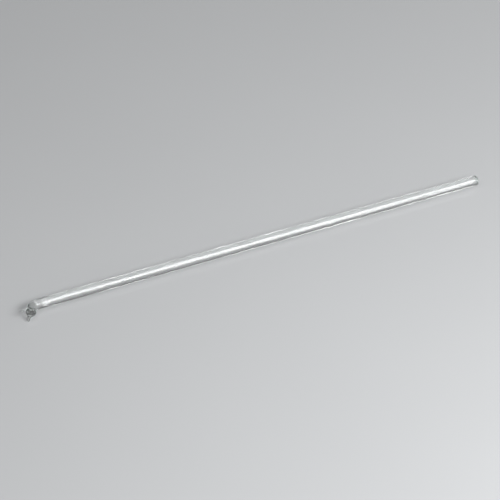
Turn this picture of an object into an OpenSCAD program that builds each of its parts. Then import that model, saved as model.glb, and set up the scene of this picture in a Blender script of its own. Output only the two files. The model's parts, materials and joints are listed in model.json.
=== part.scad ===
// Glass stirring rod with a hooked head.
//
// One piece of clear borosilicate glass. A straight solid rod is gripped at its
// plain, fire-polished drive end. The other end is bent aside into a short neck
// that closes in a round button, so that a slotted stirring blade can be slipped
// over the button and held on the neck. Two small drawn glass lugs are fused on:
// a slender one stands out from the side of the neck, and a stouter, tapered one
// leaves the button and reaches past its underside.
//
// The rod lies as it rests on a bench: along its whole straight run and on the
// tip of the tapered lug. The origin is on the bench, at the middle of the
// part's footprint. +X points towards the drive end, +Z is up, and the head
// reaches towards -Y.

/* [Rod] */
// overall length, from the drive end to the furthest point of the head
overall_len = 400; // [250:5:600]
// diameter of the rod
rod_d = 8; // [6:0.5:12]
// radius of the fire-polished edge at the drive end
polish_r = 1.2; // [0.4:0.1:2.4]

/* [Bend] */
// how far the end is bent away from the straight run, in degrees
bend_angle = 59; // [45:1:80]
// radius left on the inside of the bend
bend_inner_r = 0.6; // [0.2:0.1:4]
// how much the glass is drawn in, all round, where it is bent
bend_draw = 0.1; // [0.05:0.05:0.3]

/* [Neck and button] */
// distance from the end of the bend to the centre of the button
neck_len = 7; // [6:0.1:14]
// diameter of the round button
button_d = 8; // [6:0.1:12]
// how far the button stands proud of the neck, all round
button_lip = 0.65; // [0.3:0.05:1.5]
// radius of the soft fillet between neck and button
fillet_r = 0.9; // [0.4:0.1:2]

/* [Side lug] */
// diameter of the slender lug on the neck
side_lug_d = 1.6; // [1:0.1:2.6]
// reach of the slender lug from the neck's centreline to its tip
side_lug_reach = 8.6; // [7:0.1:12]
// distance of the slender lug from the end of the bend, along the neck
side_lug_at = 1.8; // [1:0.1:3.5]
// how far the slender lug sits below the neck's centreline
side_lug_drop = 1.7; // [0:0.1:2]
// how far the slender lug's root spreads, all round, where it is fused on
side_lug_spread = 0.3; // [0.1:0.1:0.8]

/* [Foot lug] */
// diameter of the tapered lug where it leaves the button
foot_root_d = 4.6; // [2.6:0.1:5.8]
// diameter of the tapered lug's round tip
foot_tip_d = 1.6; // [1:0.1:2.6]
// reach of the foot's tip past the button's centre, along the neck
foot_reach = 5.6; // [4:0.1:9]
// sideways offset of the foot's tip, away from the drive end
foot_side = 1.7; // [0:0.1:4]
// how far the foot's tip stands below the button's underside
foot_stand = 1.2; // [0.6:0.1:3]

/* [Hidden] */
$fn = 96;

rod_r = rod_d / 2;
button_r = button_d / 2;
neck_r = button_r - button_lip;
drawn_r = rod_r - bend_draw;
bend_r = drawn_r + bend_inner_r;
side_r = side_lug_d / 2;
root_r = foot_root_d / 2;
tip_r = foot_tip_d / 2;

// Steps that stand in for each curve of a turned outline.
steps = 8;
// The neck, the fillet and the lugs' tapers start inside the glass that carries
// them, so that the surfaces cross.
neck_sink = 0.3;
fillet_sink = 0.02;
lug_sink = 0.4;
// Power of each lug's taper: 1 is a straight cone, more is a hollow flare.
side_flare = 5;
foot_flare = 1.3;

// The head is worked out with the rod's axis along X, the bend's corner (where
// the two centrelines would cross) at the origin, and the neck in the XY plane.
// "along" runs down the neck, "aside" is square to it, away from the drive end.
bend_tangent = bend_r * tan(bend_angle / 2);
button_along = bend_tangent + neck_len;
side_lug_along = bend_tangent + side_lug_at;
function head_point(along, aside, drop) = [
    -along * cos(bend_angle) - aside * sin(bend_angle),
    -along * sin(bend_angle) + aside * cos(bend_angle),
    -drop
];
neck_start = head_point(bend_tangent, 0, 0);
button_at = head_point(button_along, 0, 0);
foot_tip = head_point(button_along + foot_reach, foot_side, button_r + foot_stand - tip_r);
side_root = head_point(side_lug_along, 0, side_lug_drop);
side_tip = head_point(side_lug_along, side_lug_reach - side_r, side_lug_drop);

// The rod rolls about its own axis until the foot's tip touches the bench.
rest_roll = atan2(-foot_tip[2], -foot_tip[1])
    - asin((rod_r - tip_r) / norm([foot_tip[1], foot_tip[2]]));

// Footprint of the part after it has rolled to rest.
function rolled_y(p) = p[1] * cos(rest_roll) + p[2] * sin(rest_roll);
head_reach = max(-button_at[0] + button_r, -foot_tip[0] + tip_r, -side_tip[0] + side_r);
front_reach = max(-rolled_y(button_at) + button_r, -rolled_y(foot_tip) + tip_r);
run_end = overall_len - head_reach;

// The fillet's centre along the neck, and the angle the fillet turns through.
fillet_reach = button_r - fillet_sink + fillet_r;
fillet_at = neck_len - sqrt(pow(fillet_reach, 2) - pow(neck_r + fillet_r, 2));
fillet_turn = atan2(neck_r + fillet_r, neck_len - fillet_at);

// Outline points of an arc of radius r about [x, y], from angle a0 to angle a1.
function arc(x, y, r, a0, a1) = [
    for (i = [0:steps]) let (a = a0 + (a1 - a0) * i / steps) [x + r * cos(a), y + r * sin(a)]
];

// Straight run, from the bend to the fire-polished drive end.
module straight_run() {
    run = run_end - bend_tangent;
    translate([bend_tangent, 0, 0]) rotate([0, 90, 0]) rotate_extrude()
        polygon(concat(
            [[0, 0], [rod_r, 0]],
            arc(rod_r - polish_r, run - polish_r, polish_r, 0, 90),
            [[0, run]]
        ));
}

// The bend is drawn in a little from the rod's diameter, between two round
// shoulders that keep it.
module bend() {
    translate([bend_tangent, -bend_r, 0]) rotate([0, 0, 90])
        rotate_extrude(angle = bend_angle) translate([bend_r, 0]) circle(r = drawn_r);
    for (shoulder = [[bend_tangent, 0, 0], neck_start])
        translate(shoulder) sphere(r = rod_r);
}

// The neck thins gently from its shoulder, and a concave fillet carries it into
// the round button.
module neck_and_button() {
    thinning = fillet_at - neck_sink;
    translate(neck_start) rotate([0, 0, 180 + bend_angle]) rotate([0, 90, 0]) rotate_extrude()
        polygon(concat(
            [[0, neck_sink]],
            [for (i = [0:steps - 1]) [
                neck_r + (drawn_r - neck_r) * (1 + cos(180 * i / steps)) / 2,
                neck_sink + thinning * i / steps
            ]],
            arc(neck_r + fillet_r, fillet_at, fillet_r, 180, 90 + fillet_turn),
            [[0, neck_len]]
        ));
    translate(button_at) sphere(r = button_r);
}

// A drawn lug from one point towards another, with a round end. Inside the glass
// that carries it, it is a plain stub. It has radius root where it comes out, at
// distance bared, and tapers to radius tip.
module lug(from, to, root, tip, bared, flare) {
    d = to - from;
    reach = norm(d);
    start = bared - lug_sink;
    stub = tip + (root - tip) / pow((reach - bared) / (reach - start), flare);
    translate(from) rotate([0, acos(d[2] / reach), atan2(d[1], d[0])])
        rotate_extrude()
            polygon(concat(
                [[0, 0], [stub, 0]],
                [for (i = [0:steps - 1]) [
                    tip + (stub - tip) * pow(1 - i / steps, flare),
                    start + (reach - start) * i / steps
                ]],
                arc(0, reach, tip, 0, 90)
            ));
}

// The slender lug stands square to the neck, below its centreline.
module side_lug() {
    bared = sqrt(pow(neck_r, 2) - pow(side_lug_drop, 2));
    lug(side_root, side_tip, side_r + side_lug_spread, side_r, bared, side_flare);
}

// The tapered lug runs from the button's centre down to the bench.
module foot_lug() {
    bared = sqrt(pow(button_r, 2) - pow(root_r, 2));
    lug(button_at, foot_tip, root_r, tip_r, bared, foot_flare);
}

// The whole rod, lying as it rests, with its footprint centred on the origin.
module stirring_rod() {
    color([0.86, 0.92, 0.92, 0.4])
        translate([head_reach - overall_len / 2, (front_reach - rod_r) / 2, rod_r])
            rotate([-rest_roll, 0, 0])
                union() {
                    straight_run();
                    bend();
                    neck_and_button();
                    side_lug();
                    foot_lug();
                }
}

stirring_rod();
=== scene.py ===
# %% [markdown]
# # A glass stirring rod
#
# The real object is one piece of clear borosilicate glass, 400 mm long. A glass
# worker cuts a straight rod, melts the drive end round, bends the other end aside
# in the flame, draws a short neck with a round button, and fuses on two small lugs.
#
# The CAD solid from model.glb comes in first, as a frame. Its sizes are right, but its surface
# is made of flat facets, and clear glass shows each facet as a kink in everything
# seen through it. So this lesson makes the same shape again as one smooth skin, and
# then gives it the finish and the light that let clear glass be seen.

# %% Load the frame
import json
import math

import bmesh
import bpy
from mathutils import Matrix, Vector


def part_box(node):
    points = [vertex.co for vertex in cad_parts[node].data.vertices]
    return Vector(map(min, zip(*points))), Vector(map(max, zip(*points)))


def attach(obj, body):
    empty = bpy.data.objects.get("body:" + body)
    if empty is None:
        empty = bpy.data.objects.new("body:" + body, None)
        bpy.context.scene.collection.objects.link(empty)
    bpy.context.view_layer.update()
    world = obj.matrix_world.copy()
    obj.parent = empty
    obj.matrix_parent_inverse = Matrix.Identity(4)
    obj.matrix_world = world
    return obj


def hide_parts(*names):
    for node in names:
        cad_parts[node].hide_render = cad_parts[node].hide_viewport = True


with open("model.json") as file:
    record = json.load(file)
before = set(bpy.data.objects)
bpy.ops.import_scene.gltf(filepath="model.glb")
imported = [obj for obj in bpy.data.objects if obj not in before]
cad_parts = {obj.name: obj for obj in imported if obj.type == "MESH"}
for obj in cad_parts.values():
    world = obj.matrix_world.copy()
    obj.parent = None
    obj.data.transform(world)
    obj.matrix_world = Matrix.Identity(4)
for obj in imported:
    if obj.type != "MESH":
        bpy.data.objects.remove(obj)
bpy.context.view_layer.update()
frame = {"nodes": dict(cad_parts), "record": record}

print("the frame holds", sorted(frame["nodes"]))

# %% [markdown]
# ## The shaft's place
#
# Nothing is placed by eye. The frame's record says where the rod can be gripped,
# how thick it is there and which way the neck points, and the node's box says where
# the drive end is. Those values place the whole rod.

# %% Read the shaft from the frame
MM = 0.001

mounts = {mount["name"]: mount for mount in frame["record"]["mounts"]}
grip = mounts["drive_end"]
shaft_radius = grip["dims"]["r_mm"] * MM
drive_way = Vector(grip["axis"])
neck_way = Vector(mounts["blade_neck"]["axis"]).normalized()

polish = 1.2 * MM
drive_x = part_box("stirring_rod")[1].x
bend_x = drive_x - polish - grip["dims"]["length_mm"] * MM
shaft_start = Vector((bend_x, grip["pos_m"][1], grip["pos_m"][2]))
print("the shaft is", round(2 * shaft_radius / MM, 2), "mm thick")
print("the bend starts", round((drive_x - bend_x) / MM, 1), "mm from the drive end")

# %% [markdown]
# ## Directions on the head
#
# Three directions make the head easy to describe: along the neck, aside from it,
# and down from the plane of the bend. Cross products of the shaft's and the neck's
# own directions give the other two, so nothing has to be turned by hand.

# %% Work out the head's directions
shaft_way = -drive_way
bend_angle = shaft_way.angle(neck_way)
bend_axis = shaft_way.cross(neck_way).normalized()
down_way = -bend_axis
aside_way = neck_way.cross(bend_axis)
print("the rod bends by", round(math.degrees(bend_angle), 1), "degrees")

# %% [markdown]
# ## A lathe
#
# Almost everything on the rod is round about some line. Ready-made cylinders and
# spheres would need a joint at each change of form. A lathe needs none: the helper
# takes half an outline, as pairs of distance along the line and radius, and `spin`
# turns it once about that line. The full turn merges its own seam.

# %% Make the lathe
AROUND = 96


def turn(blank, start, way, outline):
    """Spins an outline of (distance, radius) pairs about the line from start along way."""
    place = Matrix.Translation(start) @ way.to_track_quat("Z", "Y").to_matrix().to_4x4()
    points = [blank.verts.new(place @ Vector((radius, 0, along))) for along, radius in outline]
    lines = [blank.edges.new(pair) for pair in zip(points, points[1:])]
    bmesh.ops.spin(blank, geom=points + lines, cent=start, axis=way, angle=math.tau,
                   steps=AROUND, use_merge=True)


def arc(along, out, radius, first, last, steps=12):
    """Outline pairs on an arc, with its angles in degrees measured from the line."""
    angles = [math.radians(first + (last - first) * i / steps) for i in range(steps + 1)]
    return [(along + radius * math.cos(a), out + radius * math.sin(a)) for a in angles]


head = bmesh.new()
print("the lathe cuts", AROUND, "sides")

# %% [markdown]
# ## The bend
#
# In the flame the rod's end is bent aside on a short radius, and the soft glass is
# drawn in a little there. The blank follows that: a circle of the drawn-in size is
# spun about the bend's centre, not about its own. A short stub of the straight rod
# and a round shoulder at each end of the bend overlap it, and the skin that comes
# later joins them.

# %% Spin the bend
BEND_STEPS = 32

bend_inside = 0.6 * MM
bend_draw = 0.1 * MM
drawn_radius = shaft_radius - bend_draw
bend_radius = drawn_radius + bend_inside
bend_centre = shaft_start + bend_axis.cross(shaft_way) * bend_radius

facing = shaft_way.to_track_quat("Z", "Y").to_matrix().to_4x4()
ring = bmesh.ops.create_circle(head, segments=AROUND, radius=drawn_radius,
                               matrix=Matrix.Translation(shaft_start) @ facing)["verts"]
ring_edges = list({edge for vert in ring for edge in vert.link_edges})
bmesh.ops.spin(head, geom=ring + ring_edges, cent=bend_centre, axis=bend_axis,
               angle=bend_angle, steps=BEND_STEPS)
open_edges = [edge for edge in head.edges if edge.is_boundary]
bmesh.ops.holes_fill(head, edges=open_edges, sides=AROUND)
print("the bend's blank has", len(head.faces), "faces")

# %% Add the stub and the shoulders
BALL_STEPS = 48

bent = Matrix.Rotation(bend_angle, 3, bend_axis)
neck_start = bend_centre + bent @ (shaft_start - bend_centre)
stub_length = 4.0 * MM
turn(head, shaft_start, drive_way,
     [(0, 0), (0, shaft_radius), (stub_length, shaft_radius), (stub_length, 0)])
for shoulder in (shaft_start, neck_start):
    turn(head, shoulder, neck_way, arc(0, 0, shaft_radius, 180, 0, steps=BALL_STEPS))
print("the neck starts", round((neck_start - shaft_start).length / MM, 1), "mm from the shaft")

# %% [markdown]
# ## The neck and the button
#
# A slotted blade is slipped over the button and hangs on the neck. Neck, fillet and
# button are turned as one outline, so no edge comes between them: the neck thins
# gently, half a wave of a cosine long, a hollow arc leads out of it, and a larger
# arc makes the round button.

# %% Turn the neck and the button
neck_length = 7.0 * MM
button_radius = 4.0 * MM
button_lip = 0.65 * MM
fillet = 0.9 * MM
OUTLINE_STEPS = 24

neck_radius = button_radius - button_lip
fillet_out = neck_radius + fillet
fillet_along = neck_length - math.sqrt((button_radius + fillet) ** 2 - fillet_out ** 2)
fillet_end = math.degrees(math.atan2(fillet_out, neck_length - fillet_along))
thinning = [
    (fillet_along * i / OUTLINE_STEPS,
     neck_radius + (drawn_radius - neck_radius) * (1 + math.cos(math.pi * i / OUTLINE_STEPS)) / 2)
    for i in range(OUTLINE_STEPS)
]
hollow = arc(fillet_along, fillet_out, fillet, -90, -fillet_end)
ball = arc(neck_length, 0, button_radius, 180 - fillet_end, 0, steps=BALL_STEPS)
turn(head, neck_start, neck_way, [(0, 0)] + thinning + hollow + ball[1:])
button_centre = neck_start + neck_way * neck_length
print("the button is", round(2 * button_radius / MM, 1), "mm across, the neck",
      round(2 * neck_radius / MM, 1), "mm")

# %% [markdown]
# ## The two lugs
#
# Each lug is a thread of glass touched on while it is soft and drawn away, so it is
# thick at its root and tapers to a round tip. The slender one stands out from the
# side of the neck and is nearly straight. The stouter one leaves the button and
# reaches down to the bench. One outline serves both, with a power that makes the
# taper hollow: a high power gives a flare at the root only.

# %% Make a lug
SIDE_FLARE = 5
FOOT_FLARE = 1.3


def lug(start, end, root, tip, bared, flare):
    """A drawn lug that has radius root at distance bared, and tapers to radius tip."""
    reach = (end - start).length
    taper = [
        (bared + (reach - bared) * i / OUTLINE_STEPS,
         tip + (root - tip) * (1 - i / OUTLINE_STEPS) ** flare)
        for i in range(OUTLINE_STEPS)
    ]
    turn(head, start, (end - start).normalized(),
         [(0, 0), (0, root)] + taper + arc(reach, 0, tip, 90, 0))
    print("a lug reaches", round(reach / MM, 1), "mm and ends", round(2 * tip / MM, 1), "mm thick")


print("the side lug's taper has the power", SIDE_FLARE, "and the foot lug's", FOOT_FLARE)

# %% Draw the side lug
side_radius = 0.8 * MM
side_reach = 8.6 * MM
side_along = 1.8 * MM
side_drop = 1.7 * MM
side_spread = 0.3 * MM

side_root = neck_start + neck_way * side_along + down_way * side_drop
side_end = side_root + aside_way * (side_reach - side_radius)
side_bared = math.sqrt(neck_radius ** 2 - side_drop ** 2)
lug(side_root, side_end, side_radius + side_spread, side_radius, side_bared, SIDE_FLARE)

# %% Draw the foot lug
foot_root = 2.3 * MM
foot_tip = 0.8 * MM
foot_along = 5.6 * MM
foot_aside = 1.7 * MM
foot_stand = 1.2 * MM
weld = 0.0001 * MM

foot_drop = button_radius + foot_stand - foot_tip
foot_end = button_centre + neck_way * foot_along + aside_way * foot_aside + down_way * foot_drop
foot_bared = math.sqrt(button_radius ** 2 - foot_root ** 2)
lug(button_centre, foot_end, foot_root, foot_tip, foot_bared, FOOT_FLARE)
bmesh.ops.remove_doubles(head, verts=head.verts, dist=weld)
print("all the blanks together have", len(head.faces), "faces")

# %% [markdown]
# ## Melting the blanks into one skin
#
# A boolean union would leave a sharp edge all round each lug, and real fused glass
# has none. The Remesh modifier in voxel mode lays a grid of tiny cubes over the
# blanks instead, and wraps a new skin round all that lies inside. Parts that
# overlapped are then one body. A few rounds of the Smooth modifier take off the
# grid's traces and leave a small fillet round each lug, as a flame does.

# %% Wrap and soften the head
GRAIN = 0.11 * MM
SOFT_ROUNDS = 12


def melted(blank):
    """A new bmesh with one softened skin round all of blank's closed forms."""
    bmesh.ops.recalc_face_normals(blank, faces=blank.faces)
    rough = bpy.data.meshes.new("head_blanks")
    blank.to_mesh(rough)
    holder = bpy.data.objects.new("head_blanks", rough)
    bpy.context.scene.collection.objects.link(holder)
    wrap = holder.modifiers.new("wrap", "REMESH")
    wrap.mode = "VOXEL"
    wrap.voxel_size = GRAIN
    soften = holder.modifiers.new("soften", "SMOOTH")
    soften.factor = 0.5
    soften.iterations = SOFT_ROUNDS
    finished = holder.evaluated_get(bpy.context.evaluated_depsgraph_get()).to_mesh()
    skin = bmesh.new()
    skin.from_mesh(finished)
    bpy.data.objects.remove(holder)
    bpy.data.meshes.remove(rough)
    return skin


glass = melted(head)
head.free()
print("the melted head has", len(glass.faces), "faces and holds",
      round(glass.calc_volume() / MM ** 3), "mm3")

# %% [markdown]
# ## The shaft
#
# The shaft grows out of the head, so that the two stay one skin. The stub is cut
# square and its rim is trued to the exact circle. Then the rim is extruded, slid
# along the shaft in long steps, and at the drive end drawn in along a quarter of a
# circle, which is the edge that the flame has melted round.

# %% Cut the stub and true its rim
cut = shaft_start + drive_way * (stub_length / 2)
bmesh.ops.bisect_plane(glass, geom=glass.verts[:] + glass.edges[:] + glass.faces[:],
                       plane_co=cut, plane_no=drive_way, clear_outer=True)
rim = [edge for edge in glass.edges if edge.is_boundary]
for vert in {vert for edge in rim for vert in edge.verts}:
    spoke = vert.co - cut
    spoke -= drive_way * spoke.dot(drive_way)
    vert.co = cut + spoke.normalized() * shaft_radius
print("the cut rim has", len(rim), "edges")


# %% Make a pull
LONG_STEPS = 24
END_CAP = (0.97, 0.6, 0.35)


def pull(rim, centre, step, shrink=1.0):
    """Extrudes the rim, slides it a step along the shaft and shrinks it about the centre line."""
    grown = bmesh.ops.extrude_edge_only(glass, edges=rim)["geom"]
    ring = [item for item in grown if isinstance(item, bmesh.types.BMVert)]
    bmesh.ops.scale(glass, vec=(1, shrink, shrink), space=Matrix.Translation(-centre), verts=ring)
    bmesh.ops.translate(glass, vec=drive_way * step, verts=ring)
    return [item for item in grown if isinstance(item, bmesh.types.BMEdge)]


print("the shaft takes", LONG_STEPS, "pulls and its flat end", len(END_CAP))

# %% Pull the shaft and close its drive end
straight = drive_x - polish - cut.x
for i in range(LONG_STEPS):
    rim = pull(rim, cut, straight / LONG_STEPS)

rounded = arc(0, shaft_radius - polish, polish, 90, 0)
for (here, wide), (there, narrow) in zip(rounded, rounded[1:]):
    rim = pull(rim, cut, there - here, narrow / wide)
for shrink in END_CAP:
    rim = pull(rim, cut, 0, shrink)
bmesh.ops.edgeloop_fill(glass, edges=rim)
bmesh.ops.recalc_face_normals(glass, faces=glass.faces)
for face in glass.faces:
    face.smooth = True
print("the whole skin has", len(glass.faces), "faces and holds",
      round(glass.calc_volume() / MM ** 3), "mm3")

# %% [markdown]
# ## One piece
#
# The mesh becomes an object at the origin, because its place is already in its
# points. It rides on the frame's only body and stands in for the CAD solid, which
# is hidden. Its glass finish is mixed further down.

# %% Hand the skin to the frame
rod_mesh = bpy.data.meshes.new("clear_glass_rod")
glass.to_mesh(rod_mesh)
glass.free()
rod = bpy.data.objects.new("clear_glass_rod", rod_mesh)
bpy.context.scene.collection.objects.link(rod)
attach(rod, "root")
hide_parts("stirring_rod")
print("the rod has", sum(len(p.vertices) - 2 for p in rod_mesh.polygons), "triangles")

# %% [markdown]
# ## Helpers for finishes
#
# Both finishes below need the same thing: a noise that reads the piece's own Object
# coordinates, stretched as the making of the piece stretches its traces, and turned
# into a small range of some value. Noise stays mostly between 0.3 and 0.7, so that is
# the range which both helpers spread out.

# %% Make a stretched noise
NOISE_LOW = 0.3
NOISE_HIGH = 0.7


def trace(material, stretch, detail=1.0):
    """A noise in the piece's own coordinates, with its three scales per metre."""
    nodes, links = material.node_tree.nodes, material.node_tree.links
    place = nodes.new("ShaderNodeTexCoord")
    stretched = nodes.new("ShaderNodeMapping")
    stretched.inputs["Scale"].default_value = stretch
    noise = nodes.new("ShaderNodeTexNoise")
    noise.inputs["Scale"].default_value = 1.0
    noise.inputs["Detail"].default_value = detail
    links.new(place.outputs["Object"], stretched.inputs["Vector"])
    links.new(stretched.outputs["Vector"], noise.inputs["Vector"])
    return noise.outputs["Fac"]


def between(material, fac, low, high):
    """Turns a noise into a value from low to high."""
    node = material.node_tree.nodes.new("ShaderNodeMapRange")
    node.inputs["From Min"].default_value = NOISE_LOW
    node.inputs["From Max"].default_value = NOISE_HIGH
    node.inputs["To Min"].default_value = low
    node.inputs["To Max"].default_value = high
    material.node_tree.links.new(fac, node.inputs["Value"])
    return node.outputs["Result"]


def tinted(material, fac, one, other):
    """Turns a noise into a colour between one and other."""
    node = material.node_tree.nodes.new("ShaderNodeValToRGB")
    first, last = node.color_ramp.elements
    first.position = NOISE_LOW
    first.color = (*one, 1)
    last.position = NOISE_HIGH
    last.color = (*other, 1)
    material.node_tree.links.new(fac, node.inputs["Fac"])
    return node.outputs["Color"]


print("the helpers spread noise from", NOISE_LOW, "to", NOISE_HIGH)

# %% [markdown]
# ## Clear borosilicate glass
#
# Borosilicate glass bends light by 1.473. Drawn rod is never quite even: the drawing
# leaves very shallow lines along it, a fifteenth of a metre long and a few
# millimetres apart, which make the edges of each reflection waver. They are bump.
# The polish varies a little, so roughness gets its own noise. A fortieth of the
# surface scatters light, as handled glass does, and the glass itself takes a
# little red out of light that travels far inside it. That is the Volume Absorption
# node, and it shows as a faint green in the button, not in the thin shaft.

# %% Mix the glass
DRAWN_LINES = (15, 350, 350)
POLISH_PATCHES = (40, 200, 200)
LINE_DEPTH = 0.1 * MM


def clear_glass():
    material = bpy.data.materials.new("clear_borosilicate_glass")
    material.use_nodes = True
    nodes, links = material.node_tree.nodes, material.node_tree.links
    shader = nodes["Principled BSDF"]
    shader.inputs["IOR"].default_value = 1.473
    shader.inputs["Transmission Weight"].default_value = 0.975

    drawn_lines = nodes.new("ShaderNodeBump")
    drawn_lines.inputs["Distance"].default_value = LINE_DEPTH
    links.new(trace(material, DRAWN_LINES, detail=2.0), drawn_lines.inputs["Height"])
    links.new(drawn_lines.outputs["Normal"], shader.inputs["Normal"])

    polish_trace = trace(material, POLISH_PATCHES)
    links.new(between(material, polish_trace, 0.0, 0.04), shader.inputs["Roughness"])
    clear_tint = tinted(material, polish_trace, (0.98, 1.0, 0.99), (1.0, 1.0, 1.0))
    links.new(clear_tint, shader.inputs["Base Color"])

    inside = nodes.new("ShaderNodeVolumeAbsorption")
    inside.inputs["Color"].default_value = (0.72, 0.95, 0.88, 1)
    inside.inputs["Density"].default_value = 2.0
    links.new(inside.outputs["Volume"], nodes["Material Output"].inputs["Volume"])
    return material


rod_mesh.materials.append(clear_glass())
print("the glass material has", len(rod_mesh.materials[0].node_tree.nodes), "nodes")

# %% [markdown]
# ## The floor
#
# The bench top is a plain pale sheet with a satin polish. Clear glass takes its
# colour from what lies under it, so the floor is a light neutral grey: the rod's
# bright lines show on it, and a white floor would swallow them. Its polish is fine
# enough to hold a faint mirror image of the rod, and its gloss is a little weaker
# than a new sheet's, so that the soft box leaves less glare.

# %% Mix the satin sheet
CLOUDS = (3, 3, 3)
POLISH_GRAIN = (90, 90, 90)


def satin_sheet():
    material = bpy.data.materials.new("pale_satin_sheet")
    material.use_nodes = True
    links = material.node_tree.links
    shader = material.node_tree.nodes["Principled BSDF"]
    clouds = trace(material, CLOUDS, detail=4.0)
    pale = tinted(material, clouds, (0.56, 0.57, 0.58), (0.575, 0.585, 0.595))
    links.new(pale, shader.inputs["Base Color"])
    fine = trace(material, POLISH_GRAIN, detail=3.0)
    links.new(between(material, fine, 0.09, 0.14), shader.inputs["Roughness"])
    shader.inputs["Specular IOR Level"].default_value = 0.35
    return material


print("the sheet's clouds are about", round(1 / CLOUDS[0], 2), "m across")

# %% Lay the floor
FLOOR_HALF = 3.0

floor_mesh = bpy.data.meshes.new("floor")
sheet = bmesh.new()
bmesh.ops.create_grid(sheet, x_segments=1, y_segments=1, size=FLOOR_HALF)
sheet.to_mesh(floor_mesh)
sheet.free()
floor = bpy.data.objects.new("floor", floor_mesh)
bpy.context.scene.collection.objects.link(floor)
floor_mesh.materials.append(satin_sheet())
print("the floor is", round(floor.dimensions.x, 1), "m wide")

# %% [markdown]
# ## The studio's walls
#
# Clear glass has no colour of its own to light. It is seen by what it bends and
# mirrors, so it needs something bright and something dark round it. The shaft turns
# the view through its lower edge up towards the wall behind it, so a dark wall there
# draws the dark band along that edge, as a black card held there would. The wall's
# grey foot keeps the horizon soft when the rod is seen from low down. In front and at
# the sides the wall is bright, with a softer grey step, so that the button and the
# lugs catch light and the rod reads well from behind too. A ramp turns height into
# brightness, and the direction's depth blends the two walls.

# %% Open the world
world = bpy.data.worlds.new("studio_walls")
bpy.context.scene.world = world
world.use_nodes = True
nodes, links = world.node_tree.nodes, world.node_tree.links
way = nodes.new("ShaderNodeTexCoord")
split = nodes.new("ShaderNodeSeparateXYZ")
links.new(way.outputs["Generated"], split.inputs["Vector"])
height = nodes.new("ShaderNodeMapRange")
height.inputs["From Min"].default_value = -1.0
links.new(split.outputs["Z"], height.inputs["Value"])
print("the world has", len(nodes), "nodes so far")

# %% Paint the two walls
def wall(levels):
    """A ramp of grey levels, given as pairs of elevation in degrees and level."""
    ramp = nodes.new("ShaderNodeValToRGB")
    stops = ramp.color_ramp.elements
    stops.remove(stops[-1])
    for i, (degrees, level) in enumerate(levels):
        place = (math.sin(math.radians(degrees)) + 1) / 2
        stop = stops.new(place) if i else stops[0]
        stop.position = place
        stop.color = (level, level, level, 1)
    links.new(height.outputs["Result"], ramp.inputs["Fac"])
    print("a wall has", len(stops), "levels")
    return ramp.outputs["Color"]


back_wall = wall([(0, 0.17), (6, 0.17), (9, 0.015), (72, 0.015), (82, 1.0), (90, 1.0)])
front_wall = wall([(0, 1.0), (16, 1.0), (24, 0.25), (55, 0.25), (70, 0.85), (90, 0.85)])

# %% Blend the two walls
WALL_STRENGTH = 1.2

depth = nodes.new("ShaderNodeMapRange")
depth.inputs["From Min"].default_value = 0.35
depth.inputs["From Max"].default_value = 0.6
links.new(split.outputs["Y"], depth.inputs["Value"])
blend = nodes.new("ShaderNodeMix")
blend.data_type = "RGBA"
front_side, back_side = [socket for socket in blend.inputs if socket.type == "RGBA"]
links.new(front_wall, front_side)
links.new(back_wall, back_side)
links.new(depth.outputs["Result"], blend.inputs["Factor"])
blended = [socket for socket in blend.outputs if socket.type == "RGBA"][0]
links.new(blended, nodes["Background"].inputs["Color"])
nodes["Background"].inputs["Strength"].default_value = WALL_STRENGTH
print("the brightest part of the walls is", WALL_STRENGTH)

# %% [markdown]
# ## The soft box
#
# One long soft box hangs in front of the rod and above it. The shaft is a lens: it
# gathers that light into a bright line on the floor behind itself, and shows the line
# again, widened, as the white band along its middle. The box also leaves a soft patch
# of light in the button.

# %% Hang the soft box
def soft_box(name, at, aim, length, depth, power):
    """A rectangular area lamp that hangs at one point and faces another."""
    lamp = bpy.data.lights.new(name, "AREA")
    lamp.shape = "RECTANGLE"
    lamp.size = length
    lamp.size_y = depth
    lamp.energy = power
    holder = bpy.data.objects.new(name, lamp)
    bpy.context.scene.collection.objects.link(holder)
    holder.location = at
    holder.rotation_euler = (Vector(aim) - Vector(at)).to_track_quat("-Z", "Y").to_euler()
    print(name, "is", length, "by", depth, "m at", power, "W")


soft_box("front_soft_box", at=(0.45, -0.95, 0.75), aim=(0.1, 0, 0),
         length=1.2, depth=0.45, power=17)

# %% [markdown]
# ## Long light paths
#
# Light that enters the button runs up the neck and along inside the rod, and is
# mirrored dozens of times before it gets out. A renderer that gives up after a few
# mirrorings paints such glass black, so the limits are raised.

# %% Allow long light paths
LIGHT_BOUNCES = 96
paths = bpy.context.scene.cycles
paths.max_bounces = LIGHT_BOUNCES
paths.glossy_bounces = LIGHT_BOUNCES
paths.transmission_bounces = LIGHT_BOUNCES
print("light may bounce", paths.max_bounces, "times")

# %% [markdown]
# ## The camera
#
# The camera stands well back with a long lens, to the head's side and above, so the
# thin rod crosses the whole frame with little perspective. The picture is kept in
# the Standard view, which shows colours as they are written.

# %% Set the camera
AZIMUTH = math.radians(-26.3)
ELEVATION = math.radians(35)
DISTANCE = 2.434
LENS = 223
aim = Vector((-0.0063, 0.0018, 0.0006))

camera = bpy.data.objects.new("camera", bpy.data.cameras.new("camera"))
bpy.context.scene.collection.objects.link(camera)
bpy.context.scene.camera = camera
level = math.cos(ELEVATION)
back = Vector((math.sin(AZIMUTH) * level, -math.cos(AZIMUTH) * level, math.sin(ELEVATION)))
camera.location = aim + back * DISTANCE
camera.rotation_euler = (-back).to_track_quat("-Z", "Y").to_euler()
camera.data.lens = LENS
camera.data.clip_start = 0.01
camera.data.clip_end = 100
bpy.context.scene.view_settings.view_transform = "Standard"
print("the camera stands at", [round(c, 2) for c in camera.location])

# %% [markdown]
# ## Closing the lesson

# The skin must not be larger than the checked solid.

# %% Update the scene and finish
bpy.context.view_layer.update()
